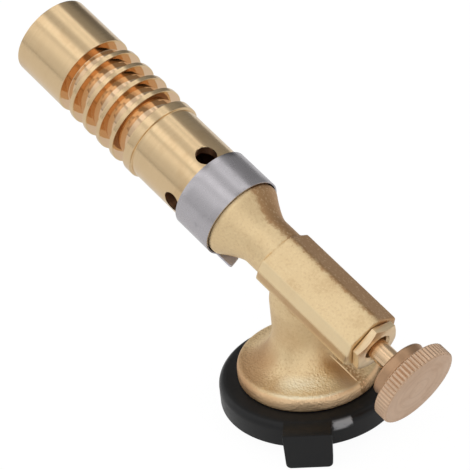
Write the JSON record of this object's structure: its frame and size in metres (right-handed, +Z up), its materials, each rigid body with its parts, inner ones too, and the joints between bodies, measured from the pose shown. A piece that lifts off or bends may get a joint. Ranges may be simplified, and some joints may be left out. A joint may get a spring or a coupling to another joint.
{
  "type": "gas torch",
  "caption": "Hand gas torch: finned brass burner tube with sliding air sleeve, valve body with knurled knob, and a round black cartridge collar with a locking tab.",
  "frame": {"origin": "centre of the collar's lower rim, where the torch seats on its gas cartridge", "axes": "+Z up along the collar's axis, +X towards the side that the burner leans to, +Y to its left"},
  "size_m": [0.1696, 0.0572, 0.1059],
  "materials": {
    "turned_brass": "satin, turned",
    "forged_brass": "tumbled forging",
    "knob_brass": "satin, browned by handling",
    "satin_steel": "satin",
    "black_plastic": "moulded, semi-gloss",
    "black_rubber": "matt",
    "white_packing": "matt",
    "sintered_bronze": "porous"
  },
  "bodies": {
    "torch": {"burner_tube": "turned_brass", "flame_holder": "turned_brass", "flame_gauze": "satin_steel", "torch_body": "forged_brass", "jet": "turned_brass", "jet_filter": "sintered_bronze", "packing_nut": "turned_brass", "gland_packing": "white_packing", "gland_washer": "turned_brass", "collar": "black_plastic", "bayonet_plate": "satin_steel", "inlet_stem": "turned_brass", "stem_o_ring": "black_rubber", "cartridge_seal": "black_rubber", "inlet_filter": "sintered_bronze", "plate_screw_1": "satin_steel", "plate_screw_2": "satin_steel", "plate_screw_3": "satin_steel"},
    "air_sleeve": {"air_sleeve": "satin_steel"},
    "spindle_seal": {"spindle_o_ring": "black_rubber"},
    "spindle": {"spindle": "turned_brass", "valve_knob": "knob_brass"}
  },
  "joints": [
    {"name": "spindle_travel", "type": "slide", "parent": "torch", "child": "spindle_seal", "axis": [-0.9272, 0, -0.3746], "range_m": [0, 0.0015]},
    {"name": "knob_turn", "type": "hinge", "parent": "spindle_seal", "child": "spindle", "pos_m": [0, 0, 0.0438], "axis": [-0.9272, 0, -0.3746], "range_deg": [0, 540]},
    {"name": "air_sleeve_slide", "type": "slide", "parent": "torch", "child": "air_sleeve", "axis": [0.9272, 0, 0.3746], "range_m": [-0.0008, 0.007]}
  ],
  "couplings": [
    {"joint": "knob_turn", "follows": "spindle_travel", "rad_per_m": 6283.2}
  ]
}
